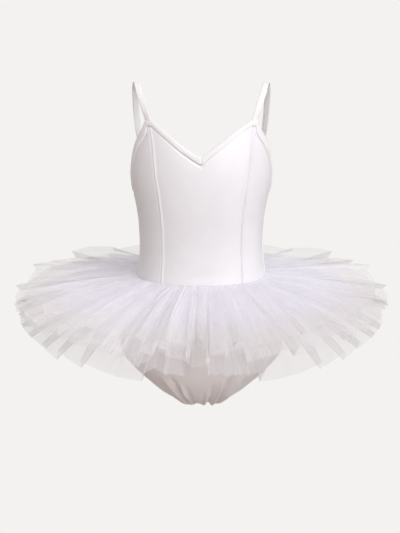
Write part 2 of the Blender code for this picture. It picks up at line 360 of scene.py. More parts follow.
bodiceLook = {
    "bright": (0.912, 0.906, 0.942, 1.0),
    "dull": (0.882, 0.876, 0.907, 1.0),
    "rib": 0.7,
    "polish": 0.32,
    "relief": 0.22,
    "reliefDepth": 0.06,
    "gloss": 0.65,
    "sheen": 0.5,
    "sheenSpread": 0.4,
}
# The brief's colours are painted darker and warmer than the bodice's, though it is the same cloth: painted
# shade for the shadow that the net throws on it.
briefShadedLook = dict(bodiceLook, bright=(0.79, 0.748, 0.75, 1.0), dull=(0.76, 0.718, 0.72, 1.0))
bindingLook = {
    "bright": (0.92, 0.905, 0.92, 1.0),
    "dull": (0.89, 0.875, 0.89, 1.0),
    "rib": 0.6,
    "polish": 0.46,
    "relief": 0.3,
    "reliefDepth": 0.06,
    "gloss": 0.3,
    "sheen": 0.3,
    "sheenSpread": 0.4,
}
netLook = {
    "bright": (0.86, 0.848, 0.925, 1.0),
    "dull": (0.815, 0.797, 0.87, 1.0),
    # outer is the net's colour towards the hem, painted darker than bright and dull: painted shade.
    "outer": (0.785, 0.76, 0.77, 1.0),
    "cell": 1.4,
    "gap": -0.68,  # the higher, the thicker the threads
    "crease": 0.2,
    "polish": 0.62,
    "relief": 0.25,
    "reliefDepth": 0.1,
    "gloss": 0.25,
    "shadowPass": 0.75,
    "bouncePass": 0.88,
}
# The lowest layer's hem colour is painted darker still: painted shade for the shadow of the layers above it.
# Its threads are also thicker.
lowestShadedLook = dict(netLook, outer=(0.67, 0.645, 0.655, 1.0), gap=-0.62)
threadLook = {
    "bright": (0.9, 0.89, 0.9, 1.0),
    "dull": (0.774, 0.7654, 0.774, 1.0),
    "twists": 900.0,
    "polish": 0.5,
    "relief": 0.4,
    "reliefDepth": 0.05,
}

fineKnit = makeKnitGroup(knitPattern)
hexNet = makeNetGroup(netPattern)
bodiceCloth = clothMaterial("bodiceJersey", bodiceLook)
briefShadedCloth = clothMaterial("briefJerseyPaintedShade", briefShadedLook)
bindingCloth = clothMaterial("bindingSatin", bindingLook)
netCloth = netMaterial("stiffTulle", netLook)
lowestShadedNet = netMaterial("lowestTulleShaded", lowestShadedLook)
stitchThread = threadMaterial("whiteThread", threadLook)
print("materials made")


# The form under the garment. A place on it is a lane and a height: lane 0 is the centre front,
# 1 the princess seam, 2 the side seam, 4 the centre back and 8 the centre front again.

bodyForm = {
    "height": (-40, -70, -100, -126, -150, -180, -212, -243, -269, -287.5),
    "halfWidth": (97.5, 101.5, 104.4, 104.8, 102, 95.8, 91.8, 90.8, 93, 95.5),
    "front": (56, 66, 73, 76, 77, 76, 73, 71.5, 72, 73.5),
    "back": (66, 70, 73, 74, 73, 70, 67, 66, 67.5, 70),
    "princess": (79, 72.8, 69.5, 67.3, 63.5, 60, 57.5, 57.2, 58.3, 59.5),
    "roundness": 2.25,
}
neckline = {
    "point": -98.0,
    "corner": -50.0,
    "cornerLane": 0.94,
    "leftCurve": 1.12,  # the wearer's left
    "rightCurve": 1.42,
    "pointDepth": 0.34,  # how much deeper the binding is at its mitre
    "pointLanes": 0.16,  # and how far to each side
}
armholeEdge = {
    "lane": (1, 1.06, 1.25, 1.48, 1.65, 1.75, 1.86, 2, 2.15, 2.3, 2.45, 2.56, 2.66, 2.85, 3.1, 3.5, 4),
    "height": (-50, -50, -61, -79, -102, -122, -141, -152, -150, -140, -123, -108, -108.5, -124, -142,
               -159, -165),
}
waist = -287.5
backCorner = 2.61  # the lane where each strap meets the back
bandWidth = 8.0
laneStep = 0.02  # between the places that give a slope
steepest = 1.7  # the bindings stay true to their width up to this slope


def smooth(knots, values, at):
    if knots[0] > knots[-1]:
        knots, values = knots[::-1], values[::-1]
    last = len(knots) - 1
    at = min(max(at, knots[0]), knots[-1])
    k = max(i for i in range(last) if knots[i] <= at)
    span = knots[k + 1] - knots[k]
    rise = (values[k + 1] - values[k]) / span

    def slope(i):
        if i in (0, last):
            return rise
        before = (values[i] - values[i - 1]) / (knots[i] - knots[i - 1])
        after = (values[i + 1] - values[i]) / (knots[i + 1] - knots[i])
        return 0.0 if before * after <= 0 else 2 * before * after / (before + after)

    t = (at - knots[k]) / span
    start, end = slope(k) * span, slope(k + 1) * span
    return (
        values[k] * (1 + 2 * t) * (1 - t) ** 2
        + start * t * (1 - t) ** 2
        + values[k + 1] * t * t * (3 - 2 * t)
        - end * t * t * (1 - t)
    )


def smoothStep(low, high, at):
    t = min(max((at - low) / (high - low), 0.0), 1.0)
    return t * t * (3 - 2 * t)


def hump(at, centre, width):
    return math.exp(-(((at - centre) / width) ** 2))


def raised(shape, at):
    height, place, width = shape
    return height * hump(at, place, width)


def slowly(change, at, *place):
    size, length = change
    return size * noise.noise((at / length, *place))


def formAt(name, height):
    return smooth(bodyForm["height"], bodyForm[name], height)


def princessTurn(height):
    power = bodyForm["roundness"]
    x = formAt("princess", height)
    y = formAt("front", height) * (1 - (x / formAt("halfWidth", height)) ** power) ** (1 / power)
    return math.atan2(x, y)


def turnOf(lane, height):
    size = abs(lane)
    if size <= 1:
        turn = size * princessTurn(height)
    elif size <= 2:
        seam = princessTurn(height)
        turn = seam + (size - 1) * (math.pi / 2 - seam)
    else:
        turn = math.pi / 2 * (1 + (size - 2) / 2)
    return math.copysign(turn, lane)


def oval(turn, halfWidth, depth):
    power = bodyForm["roundness"]
    wide = (abs(math.sin(turn)) / halfWidth) ** power
    deep = (abs(math.cos(turn)) / depth) ** power
    return (wide + deep) ** (-1 / power)


def onForm(lane, height, proud=0.0):
    turn = turnOf(lane, height)
    depth = formAt("front" if math.cos(turn) > 0 else "back", height)
    reach = oval(turn, formAt("halfWidth", height), depth) + proud
    return Vector((reach * math.sin(turn), -reach * math.cos(turn), height))


def topEdge(lane):
    size = min(abs(lane), 8 - abs(lane))
    if size < 1:
        share = min(size / neckline["cornerLane"], 1.0)
        curve = neckline["leftCurve"] if lane > 0 else neckline["rightCurve"]
        return neckline["point"] + (neckline["corner"] - neckline["point"]) * share**curve
    return smooth(armholeEdge["lane"], armholeEdge["height"], size)


def insideEdge(lane, depth):
    before = lane - laneStep if lane else 0.0
    behind = onForm(before, topEdge(before))
    ahead = onForm(lane + laneStep, topEdge(lane + laneStep))
    slope = abs(ahead.z - behind.z) / math.hypot(ahead.x - behind.x, ahead.y - behind.y)
    deeper = 1 + neckline["pointDepth"] * hump(abs(lane), 0.0, neckline["pointLanes"])
    return topEdge(lane) - depth * deeper * math.hypot(1, min(slope, steepest))


# Cloth helpers


def stations(length, fine, coarse, growth=1.45):  # closest together at both ends
    half, at, step = [], 0.0, fine
    while at < length / 2:
        half.append(at)
        at += step
        step = min(step * growth, coarse)
    scale = length / 2 / at
    half = [scale * d for d in half]
    return half + [length / 2] + [length - d for d in reversed(half)]


def runsAlong(line):
    runs = [0.0]
    for here, beyond in zip(line, line[1:]):
        runs.append(runs[-1] + (beyond - here).length)
    return runs


def lookUp(keys, values, at):  # past its end, the table goes round again
    rounds = math.floor(at / keys[-1])
    at -= rounds * keys[-1]
    k = min(bisect.bisect_right(keys, at), len(keys) - 1) - 1
    share = (at - keys[k]) / (keys[k + 1] - keys[k])
    return values[k] + share * (values[k + 1] - values[k]) + rounds * (values[-1] - values[0])


def gridFaces(rowCount, count, uvAt, around=False):
    faces, uvs = [], []
    for i in range(rowCount - 1):
        for j in range(count if around else count - 1):
            here, beyond, k = i * count, (i + 1) * count, (j + 1) % count
            faces.append((here + j, beyond + j, beyond + k, here + k))
            for row, column in ((i, j), (i + 1, j), (i + 1, j + 1), (i, j + 1)):
                uvs += uvAt(i, row, column)
    return faces, uvs


def newPiece(name, rows, faces, uvs, material):
    mesh = bpy.data.meshes.new(name)
    points = [tuple(mm * value for value in point) for row in rows for point in row]
    mesh.from_pydata(points, [], faces)
    mesh.uv_layers.new(name="cloth").data.foreach_set("uv", [mm * value for value in uvs])
    mesh.materials.append(material)
    piece = bpy.data.objects.new(name, mesh)
    scene.collection.objects.link(piece)
    return piece


def select(piece):
    bpy.ops.object.select_all(action="DESELECT")
    piece.select_set(True)
    bpy.context.view_layer.objects.active = piece


def makeCloth(name, node, rows, material, thickness):
    middle = len(rows[0]) // 2
    across = [[d - run[middle] for d in run] for run in map(runsAlong, rows)]
    down = [runsAlong(column) for column in zip(*rows)]
    faces, uvs = gridFaces(
        len(rows), len(rows[0]), lambda strip, row, column: (across[row][column], down[column][row])
    )
    piece = newPiece(name, rows, faces, uvs, material)
    wall = piece.modifiers.new("wall", "SOLIDIFY")
    wall.thickness = thickness * mm
    wall.offset = -1
    select(piece)
    bpy.ops.object.modifier_apply(modifier=wall.name)
    bpy.ops.object.shade_smooth_by_angle(angle=math.radians(48))
    standFor(piece, node)
    declareSheet(rows, middle)


def makeStrip(name, node, loops, line):  # line runs along the strip, and its length is worked out
    count = len(loops[0])
    around = [runsAlong(loop + loop[:1]) for loop in loops]
    along = [0.0]
    for here, beyond in zip(loops, loops[1:]):
        along.append(along[-1] + sum((b - a).length for a, b in zip(here, beyond)) / count)
    faces, uvs = gridFaces(
        len(loops), count, lambda strip, row, column: (along[row], around[strip][column]), True
    )
    for end in (0, len(loops) - 1):
        cap = [end * count + j for j in range(count)]
        faces.append(cap if end else cap[::-1])
        for j in range(count):
            uvs += (along[end], j)
    piece = newPiece(name, loops, faces, uvs, bindingCloth)
    work = bmesh.new()
    work.from_mesh(piece.data)
    bmesh.ops.recalc_face_normals(work, faces=work.faces)
    work.to_mesh(piece.data)
    work.free()
    select(piece)
    bpy.ops.object.shade_smooth_by_angle(angle=math.radians(60))
    standFor(piece, node)
    length = runsAlong(line)[-1] * mm


def standFor(piece, node):
    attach(piece, "root")
    if node:
        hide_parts(node)


def declareSheet(rows, middle):
    wide = max(runsAlong(row)[-1] for row in rows) * mm
    deep = runsAlong([row[middle] for row in rows])[-1] * mm
    area = 0.0
    for upper, lower in zip(rows, rows[1:]):
        for j in range(len(upper) - 1):
            area += (lower[j + 1] - upper[j]).cross(lower[j] - upper[j + 1]).length / 2
    area = area * mm * mm
    deep = max(deep, area / wide * 1.01)  # the cloth fits in its rectangle
    area = min(area, 0.999 * wide * deep)


def softFolds(table, x, y):
    lift = 0.0
    for x0, y0, x1, y1, width, depth in table:
        run = Vector((x1 - x0, y1 - y0))
        along = ((x - x0) * run.x + (y - y0) * run.y) / run.length_squared
        off = ((x - x0) * run.y - (y - y0) * run.x) / run.length
        ends = smoothStep(-0.15, 0.25, along) * smoothStep(1.15, 0.75, along)
        lift += depth * ends * hump(off, 0.0, width)
    return lift


# Bodice

bodice = {
    "thickness": 1.2,
    "girth": 92.0,  # turns an angle round the form into a run along the cloth
    # Grooves and swellings: height, how far off, and width
    "seam": {"left": (-2.6, 0, 1.0), "right": (-2.4, 0, 0.9)},
    "seamReach": 30.0,  # beyond this, a seam has no effect
    "allowance": (1.15, 2.1, 1.3),
    "waistRoll": (-0.4, 0, 0.9),
    "pucker": (0.16, 4.2),  # height and length
    "puckerFade": 7.0,  # how soon it fades away from the seam
    "gather": (0.45, 6.5),
    "gatherFade": 11.0,
    # How far the cloth sinks along each binding: right neck, left neck, right armhole, left armhole
    "edgeGroove": (1.35, 0.2, 1.4, 2.2),
    "grooveWidth": (0.8, 1.9),  # on the open side and under the binding
    "tuckIn": 4.5,  # how far inside the binding the panel's edge lies
    "rowSpacing": (0.35, 2.2, 1.1),  # at the edges, at most, and how fast it grows
    "columnSpacing": (0.35, 3.6, 1.2),
    # Soft pulls in the cloth: lane and height of each end, width and depth
    "pulls": (
        (1.25, -270, 1.9, -280, 4.5, -0.55), (1.35, -255, 1.95, -262, 6.0, -0.4),
        (-1.3, -268, -1.92, -277, 5.0, -0.6), (-1.2, -246, -1.85, -258, 6.5, -0.35),
        (1.35, -122, 1.95, -168, 7.0, 0.5), (-1.3, -118, -1.95, -163, 6.0, 0.45),
        (0.3, -268, -0.5, -281, 5.0, -0.35), (-0.2, -122, -0.75, -98, 6.0, 0.3),
        (2.3, -262, 3.1, -274, 6.0, -0.5), (2.5, -246, 3.4, -250, 7.0, -0.4),
        (5.6, -264, 4.9, -277, 5.5, -0.55), (5.4, -243, 4.7, -252, 8.0, -0.35),
        (2.5, -150, 3.3, -196, 8.0, 0.4), (5.5, -146, 4.8, -190, 7.5, 0.45),
    ),
}
laneWidth = 68.0  # millimetres of cloth to a lane, near enough
bodicePulls = [
    (lane * laneWidth, height, lastLane * laneWidth, *shape)
    for lane, height, lastLane, *shape in bodice["pulls"]
]


def clothLift(lane, height):
    size = min(abs(lane), 8 - abs(lane))
    side = "left" if 0 < lane < 4 else "right"
    turn = turnOf(size, height)
    lift = softFolds(bodicePulls, lane * laneWidth, height)
    for seam in (1.0, 2.0):
        off = (turn - turnOf(seam, height)) * bodice["girth"]
        far = abs(off)
        if far > bodice["seamReach"]:
            continue
        towardsLeft = off if side == "left" else -off  # the allowances are all pressed to this side
        lift += raised(bodice["allowance"], towardsLeft) + raised(bodice["seam"][side], far)
        ripple = slowly(bodice["pucker"], height, seam * 7, math.copysign(3, lane))
        lift += ripple * math.exp(-far / bodice["puckerFade"])
    up = height - waist
    gather = slowly(bodice["gather"], lane * laneWidth, 4.0, up / 30)
    return lift + raised(bodice["waistRoll"], up) + gather * math.exp(-up / bodice["gatherFade"])


def panelRows(lanes):
    covered = bandWidth + 0.7
    tops = [insideEdge(lane, bodice["tuckIn"]) for lane in lanes]
    bandEdges = [insideEdge(lane, covered) for lane in lanes]
    rows = []
    for d in stations(100, *bodice["rowSpacing"]):
        row = []
        for lane, top, bandEdge in zip(lanes, tops, bandEdges):
            height = top + d / 100 * (waist - top)
            below = (bandEdge - height) * (covered - bodice["tuckIn"]) / (top - bandEdge)
            groove = bodice["edgeGroove"][2 * (abs(lane) > 1) + (0 < lane < 4)]
            width = bodice["grooveWidth"][below >= 0]
            row.append(onForm(lane, height, clothLift(lane, height) - groove * hump(below, 0.0, width)))
        rows.append(row)
    return rows


def makePanel(name, node, first, last, width):
    lanes = [first + (last - first) * d / width for d in stations(width, *bodice["columnSpacing"])]
    makeCloth(name, node, panelRows(lanes), bodiceCloth, bodice["thickness"])


makePanel("bodiceFrontCentre", "front_centre_panel", -1, 1, 134)
makePanel("bodiceFrontLeft", "front_side_panel_left", 1, 2, 74)
makePanel("bodiceFrontRight", "front_side_panel_right", -2, -1, 74)
makePanel("bodiceBack", "back_panel", 2, 6, 290)
print("bodice panels made")


# Bindings: a folded band round every open edge of the bodice

binding = {
    "mitre": (-0.7, 0, 0.9),  # the groove where two bands meet
    "ripple": (0.12, 7.0),  # height and length
    # Down from the edge, and out from the form, once round the band's section
    "section": (
        (8.0, -0.3), (7.98, 0.4), (7.7, 0.85), (6.6, 1.05), (5.2, 1.15), (3.4, 1.15), (1.7, 0.95),
        (0.5, 0.5), (0.05, -0.05), (0.15, -0.75), (0.9, -1.3), (2.8, -1.55), (5.4, -1.55),
        (7.2, -1.45), (7.9, -1.1),
    ),
}


def lanesBetween(first, last, spacing=2.2):
    width = abs(last - first) * laneWidth
    return [first + (last - first) * d / width for d in stations(width, 0.4, spacing)]


def makeBand(name, node, lanes, mitred=False):
    loops = []
    for lane in lanes:
        lift = slowly(binding["ripple"], lane * laneWidth, 9.0, 1.0)
        if mitred:
            lift += raised(binding["mitre"], lane * laneWidth)
        loop = []
        for down, proud in binding["section"]:
            outside = 1.0 if proud > -0.3 else -1.0
            loop.append(onForm(lane, insideEdge(lane, down), proud + outside * lift))
        loops.append(loop)
    makeStrip(name, node, loops, [loop[4] for loop in loops])


makeBand("neckBindingLeft", "neck_binding_left", lanesBetween(0.0, 1.0), True)
makeBand("neckBindingRight", "neck_binding_right", lanesBetween(-1.0, -0.0), True)
makeBand("armholeBindingLeft", "armhole_binding_left", lanesBetween(1.0, backCorner))
makeBand("armholeBindingRight", "armhole_binding_right", lanesBetween(-backCorner, -1.0))
makeBand("backNeckBinding", "back_neck_binding", lanesBetween(backCorner, 8 - backCorner, 3.0))
print("bindings made")


# Shoulder straps

strap = {
    "width": 9.0,
    "thickness": 1.8,
    "twist": 0.9,
    "tuckIn": 5.0,
    "sunk": (-1.4, -0.4),  # how far in from the form, at the hidden end and at the edge
    "inside": (40, 0, -60),  # a place in the shoulder, away from which the strap faces
    "steps": 96,
    "waver": (0.03, 1 / 22),
    "route": (
        (80.5, -36, -38), (85, -29, -25), (89.5, -20, -12.5), (92.3, -10, -3.8), (94.2, 0, -0.9),
        (96, 11, -5), (97, 19, -18), (96.8, 26, -36), (95.5, 33, -60), (93, 38.5, -82),
    ),
    # Across and through the strap, as shares of its width and thickness
    "section": (
        (-0.5, 0.0), (-0.47, 0.36), (-0.38, 0.5), (-0.2, 0.54), (0.0, 0.5), (0.2, 0.54),
        (0.38, 0.5), (0.47, 0.36), (0.5, 0.0), (0.47, -0.36), (0.38, -0.5), (0.0, -0.5),
        (-0.38, -0.5), (-0.47, -0.36),
    ),
}


def throughPoints(points, at):
    last = len(points) - 1
    k = min(int(at), last - 1)
    t = at - k
    a, b, c, d = (points[min(max(k + i, 0), last)] for i in (-1, 0, 1, 2))
    return 0.5 * (
        2 * b + (c - a) * t + (2 * a - 5 * b + 4 * c - d) * t**2 + (3 * b - a - 3 * c + d) * t**3
    )


def makeStrap(name, node, side):
    steps, (deep, shallow) = strap["steps"], strap["sunk"]
    front, back = neckline["corner"], topEdge(backCorner)
    frontWay = (onForm(1.0 + laneStep, front + 2) - onForm(1.0, front + 2)).normalized()
    backWay = (onForm(backCorner, back) - onForm(backCorner + laneStep, back)).normalized()
    route = [
        onForm(1.0, front - strap["tuckIn"], deep),
        onForm(1.0, front + 0.5, shallow),
        onForm(1.0, front + 4.5),
        *map(Vector, strap["route"]),
        onForm(backCorner, back + 4),
        onForm(backCorner, back + 0.3, shallow),
        onForm(backCorner, back - strap["tuckIn"], deep),
    ]
    path = [throughPoints(route, (len(route) - 1) * i / steps) for i in range(steps + 1)]
    loops = []
    for i, point in enumerate(path):
        share = i / steps
        ease = smoothStep(0, 1, share)
        across = frontWay * (1 - ease) + backWay * ease
        across.x += strap["twist"] * math.sin(math.pi * ease)
        run = (path[min(i + 1, steps)] - path[max(i - 1, 0)]).normalized()
        across = (across - run * across.dot(run)).normalized()
        through = run.cross(across)
        if through.dot(point - Vector(strap["inside"])) < 0:
            through.negate()
        width = strap["width"] * (1 + slowly(strap["waver"], share, side, 5.0))
        loop = []
        for wide, thick in strap["section"]:
            place = point + across * wide * width + through * thick * strap["thickness"]
            loop.append(Vector((side * place.x, place.y, place.z)))
        loops.append(loop)
    makeStrip(name, node, loops, path)


makeStrap("strapLeft", "strap_left", 1)
makeStrap("strapRight", "strap_right", -1)
print("straps made")


# Brief. Its sections run from the waist seam down to the crotch seam, and its soft folds are drawn up
# from there: x and height of each end, width and depth.

briefFront = {
    "depth": (73.5, 77.5, 80.5, 82, 80.5, 77, 70, 58, 42, 24, 6, 0),
    "height": (-287.5, -318, -350, -382, -406, -427, -446, -464, -477, -487, -490.5, -490.5),
    "edgeX": (95.5, 107, 117, 122.5, 121, 104, 82, 60, 41, 30, 26, 26),
    "edgeDepth": (0, 0, 0, 0, 14, 36, 45, 46, 38, 23, 6, 0),
    "edgeHeight": (-287.5, -318, -350, -380, -398, -417, -436, -455, -470, -483, -488, -488),
    "wrap": (1, 1, 1, 1, 0.85, 0.55, 0.3, 0.15, 0, 0, 0, 0),
    "folds": (
        (-56, -430, -22, -484, 3.2, 2.5), (-45, -427, -15, -486, 3.0, -2.8),
        (-32, -437, -15, -488, 2.3, 2.9), (-22, -444, -9, -486, 2.8, -1.9),
        (-2, -458, -5, -488, 2.2, 1.2), (10, -448, 3, -489, 2.0, 2.4), (18, -440, 9, -487, 2.4, -3.0),
        (33, -430, 15, -487, 2.4, 4.2), (45, -424, 21, -484, 3.0, -4.6), (62, -428, 30, -478, 3.2, 3.0),
        (-76, -420, -40, -464, 4.6, -1.0), (80, -416, 48, -462, 5.0, -1.2),
    ),
}
briefBack = {
    "depth": (70, 80, 88, 92, 91, 86, 75, 58, 38, 20, 6, 0),
    "height": (-287.5, -318, -350, -382, -408, -432, -454, -472, -483, -488, -490.5, -490.5),
    "edgeX": (95.5, 107, 117, 122.5, 122, 111, 94, 73, 51, 34, 26, 26),
    "edgeDepth": (0, 0, 0, 0, 20, 44, 54, 52, 38, 19, 6, 0),
    "edgeHeight": (-287.5, -318, -350, -380, -399, -418, -438, -457, -472, -484, -488, -488),
    "wrap": (1, 1, 1, 1, 0.85, 0.6, 0.4, 0.2, 0, 0, 0, 0),
    "folds": (
        (-56, -452, -24, -484, 3.4, 2.0), (-44, -446, -16, -486, 3.2, -2.4),
        (-24, -460, -13, -488, 2.6, 2.0), (2, -452, 2, -488, 2.8, -1.7), (20, -462, 12, -488, 2.6, 1.9),
        (38, -448, 19, -486, 3.2, -2.3), (60, -450, 30, -482, 3.8, 2.1),
        (-88, -424, -50, -462, 5.4, -1.3), (90, -428, 54, -464, 5.0, -1.2),
    ),
}
brief = {
    "thickness": 1.2,
    "rows": 84,
    "hem": 8.5,
    "hemRise": 0.5,
    "hemStep": (-0.6, 0.7),  # where the inner edge of the hem begins and ends, from its line
    "hemRoll": (-0.5, 0, 0.6),
    "stitchLine": 6.9,  # from the edge
    "stitchGroove": (-0.3, 6.9, 0.5),
    "elasticPucker": 0.35,
    "puckerFade": 9.0,  # how soon it fades away from the edge
    "legRanks": (3.0, 4.0),  # between these sections, the side seam gives way to the leg opening
    "seamGroove": (-0.9, 0, 0.75),
    "seamSwell": (0.35, 3.0, 1.9),
    "waistRoll": (-0.7, 0, 0.9),
    "crotchRoll": (-0.7, 0, 0.8),
    "crotchHumps": ((6.0, -4.8, 4.2), (5.4, 10.4, 3.5), (2.0, 3.2, 2.4)),
    "crotchDip": 1.2,  # between those humps of bunched cloth
}


def briefAt(table, at, share, facing):
    ranks = range(len(table["depth"]))
    depth, height, edgeX, edgeDepth, edgeHeight, wrap = (
        smooth(ranks, table[name], at)
        for name in ("depth", "height", "edgeX", "edgeDepth", "edgeHeight", "wrap")
    )
    size = abs(share)
    turn = size * math.pi / 2
    reach = oval(turn, edgeX, depth) if depth > 1 else 0.0
    bow = size * size
    x = wrap * reach * math.sin(turn) + (1 - wrap) * edgeX * size
    arch = depth + (edgeDepth - depth) * bow
    y = wrap * (reach * math.cos(turn) + edgeDepth * bow) + (1 - wrap) * arch
    z = height + (edgeHeight - height) * bow
    return Vector((math.copysign(x, share), facing * y, z))


def crotchRise(x, z):
    rise = sum(raised(one, x) for one in brief["crotchHumps"])
    return (rise - brief["crotchDip"]) * smoothStep(-476, -490, z)


def edgeLift(edge, gather, leg):  # a hem round the leg, and a seam above it
    start, end = brief["hemStep"]
    hem = brief["hemRise"] * (1 - smoothStep(brief["hem"] + start, brief["hem"] + end, edge))
    hem += raised(brief["stitchGroove"], edge) + raised(brief["hemRoll"], edge)
    hem += brief["elasticPucker"] * gather * math.exp(-edge / brief["puckerFade"])
    seam = raised(brief["seamGroove"], edge) + raised(brief["seamSwell"], edge)
    return leg * hem + (1 - leg) * seam


def makeBrief(name, node, table, facing):
    count, lastRank = brief["rows"], len(table["depth"]) - 1
    fine = [i / 40 for i in range(40 * lastRank + 1)]
    lengths = runsAlong([briefAt(table, rank, 0, facing) for rank in fine])
    rings = [lengths[-1] * i / count for i in range(count + 1)]
    ranks = [lookUp(lengths, fine, ring) for ring in rings[:-1]] + [lastRank]
    shares = [(d - 100) / 100 for d in stations(200, 0.35, 2.6)][::-facing]
    rows = [[briefAt(table, rank, share, facing) for share in shares] for rank in ranks]
    last = len(shares) - 1
    made = []
    for i, row in enumerate(rows):
        run = runsAlong(row)
        leg = smoothStep(*brief["legRanks"], ranks[i])
        fading = smoothStep(lastRank - 0.01, lastRank - 1, ranks[i])
        roll = raised(brief["waistRoll"], rings[i]) + raised(brief["crotchRoll"], rings[-1] - rings[i])
        madeRow = []
        for j, point in enumerate(row):
            across = row[min(j + 1, last)] - row[max(j - 1, 0)]
            down = rows[min(i + 1, count)][j] - rows[max(i - 1, 0)][j]
            gather = noise.noise((i * 0.62, j * 0.02, facing * 3.0))
            lift = edgeLift(min(run[j], run[-1] - run[j]), gather, leg) + roll
            lift += softFolds(table["folds"], point.x, point.z) * fading
            moved = point + down.cross(across).normalized() * lift
            moved.z += crotchRise(point.x, point.z)
            madeRow.append(moved)
        made.append(madeRow)
    makeCloth(name, node, made, briefShadedCloth, brief["thickness"])
    return made


frontRows = makeBrief("briefFront", "brief_front", briefFront, -1)
backRows = makeBrief("briefBack", "brief_back", briefBack, 1)
print("brief made")


# Gathered net layers, from the top one down

netLayers = (
    {"length": 173, "side": 13, "front": 40, "back": 8, "heading": 1.2, "seed": 11},
    {"length": 187, "side": 26, "front": 47, "back": 20, "heading": -1.7, "seed": 23},
    {"length": 180, "side": 40, "front": 55, "back": 32, "heading": -3.9, "seed": 37},
    {"length": 186, "side": 55, "front": 72, "back": 45, "heading": -6.1, "seed": 41},
)
pleats = {
    "rows": 26,
    "rowGrowth": 1.12,  # the rows are closer together at the seam
    "cut": 3.4,  # how far apart the columns of the mesh are, along the cloth
    "narrow": 18.0,  # hem width of the narrowest and the widest usual pleat
    "wide": 60.0,
    "narrowBias": 1.3,  # above 1, more of them are narrow
    "fullness": (1.4, 1.66),
    "wideFullness": 1.25,  # of a wider one from the list
    "slackDrop": 0.2,  # how much less full they are past the sides, and again behind
    "sides": (150, 300),  # along the hem from the centre front
    "behind": (440, 540),
    "ringHeight": 1.2,
    "hemHeight": 8.0,
    "tallest": 0.43,  # against the cloth that a pleat has to spare
    "tallness": (0.45, 1.0),
    "belly": (-1.0, 1.4),  # for each 30 mm of width
    "skew": (-3.0, 2.0),
    "stepOut": 3.0,
    "stepOutMost": (-6.0, 4.0),
    "stepUp": 2.2,
    "sag": 1.5,
    "sagChange": (0.25, 40),  # the size and the length of each slow change
    "drift": (9, 70),
    "swell": (5, 85),
    "ripple": (1.3, 11),
    "flutter": (0.8, 22),
    "drawnIn": 0.34,  # how far the folds are drawn together at the seam, against the hem
    "backToBack": 0.4,  # room between two folds that meet
}
# Folds given one by one, in millimetres along the hem from the centre front: the inner and the outer
# end, how far the hem is lifted, how far it reaches out, how tall the fold is, how far it bows up,
# how much further its standing edge reaches and its fullness
openFolds = (
    (
        (-9, 3, 6, -26, -1.0, 0, 26), (-9, -14, 6, -26, -1.0, 0, 26), (3, 9, 0, 0, 0.4, 0, 0, 2.0),
        (-14, -19, 0, 0, 0.4, 0, 0, 2.0), (-19, -52, 0, -10, 0.9), (9, 44, 0, 0, 1.0),
        (44, 62, 0, -5, 0.5), (-80, -52, 0, 0, 1.5), (-118, -90, 0, -1, 1.4),
        (340, 400, -2, -9, 0.8, 0, 0, 1.3), (-340, -400, -2, -9, 0.8, 0, 0, 1.3),
        (400, 468, 0, -9, 0.8, 0, 4, 1.3), (-400, -470, 0, -9, 0.8, 0, 4, 1.3),
        (530, 468, 5, -2, 1.3, 0, 3), (-532, -470, 5, -2, 1.2, 0, 2),
        (585, 530, 2, 0, 1.0, 0, 2, 1.25), (-588, -532, 2, 0, 0.9, 0, 1, 1.2),
        (655, 585, 4, 0, 0.8, 2, 1), (-660, -588, 4, 0, 0.7, 3, 1),
        (655, 730, -3, -2, 0.4, 3), (-660, -736, -3, -2, 0.4, 2),
    ),
    (
        (-9, 5, 9, -50, -1.0, 0, 50), (-9, -15, 9, -50, -1.0, 0, 50), (5, 10, 0, 4, 0.4, 0, 0, 2.0),
        (-15, -20, 0, 6, 0.4, 0, 0, 2.0), (-20, -48, 0, -32, 0.9), (-48, -66, 0, -20, 0.5),
        (10, 60, 0, -20, 0.9), (60, 96, -5, 10, 1.1), (-112, -84, -4, 8, 1.4),
        (368, 335, -2, -2, 0.5, 0, 0, 1.2), (-370, -336, -2, -2, 0.5, 0, 0, 1.2),
        (452, 368, 0, -5, 0.8, 0, 1), (-450, -370, 0, -5, 0.8, 0, 1),
        (517, 452, 0, -6, 1.2, 0, 6), (-516, -450, 0, -6, 1.2, 0, 6),
    ),
    (
        (-10, 6, 7, -44, -1.0, 0, 40), (-10, -16, 7, -44, -1.0, 0, 40), (6, 11, 0, 8, 0.4, 0, -9, 2.0),
        (-16, -21, 0, 8, 0.4, 0, -9, 2.0), (11, 34, 0, -24, 0.5), (34, 45, 0, -14, 0.4, 0, 0, 2.2),
        (45, 62, 0, -26, 0.4), (62, 88, 0, -2, 0.8), (-21, -47, 0, -11, 0.5), (-47, -68, 0, -32, 0.5),
        (-82, -68, -3, 12, 0.6, 0, -4, 2.2), (-82, -108, -7, 9, 0.9),
    ),
    (
        (-17, 9, 4, -26, 0.2), (9, 15, 0, 0, 0.35, 0, -20, 2.6), (-17, -24, 0, -1, 0.35, 0, -22, 2.6),
        (15, 31, 0, -3, 0.3), (31, 46, 0, -2, 0.4, 0, -3, 2.3), (46, 62, 0, -4, 0.3),
        (62, 79, 0, -2, 0.6, 0, 0, 2.1), (-24, -47, 0, -3, 0.3), (-47, -66, 0, -4, 0.3, 0, -13),
        (-80, -66, 0, -2, 0.7, 0, -14, 2.2), (79, 165, -8, 0, 1.25, -4), (-80, -166, -8, 0, 1.25, -4),
        (165, 205, -4, 6, 1.2, 0, -6), (-166, -206, -4, 8, 1.2, 0, -8),
        (205, 244, -2, 7, 1.5, 0, -6), (-206, -242, -2, 11, 1.1, 0, -9),
        (244, 292, 1, 0, 1.2, 0, 0, 1.25), (-242, -290, 1, 0, 0.9, 0, 0, 1.25),
        (292, 335, 2, -3, 1.0, 0, 0, 1.25), (-290, -337, 2, -3, 0.7, 0, 0, 1.25),
        (335, 425, 3, -5, 1.1), (-337, -426, 3, -5, 0.7),
    ),
)


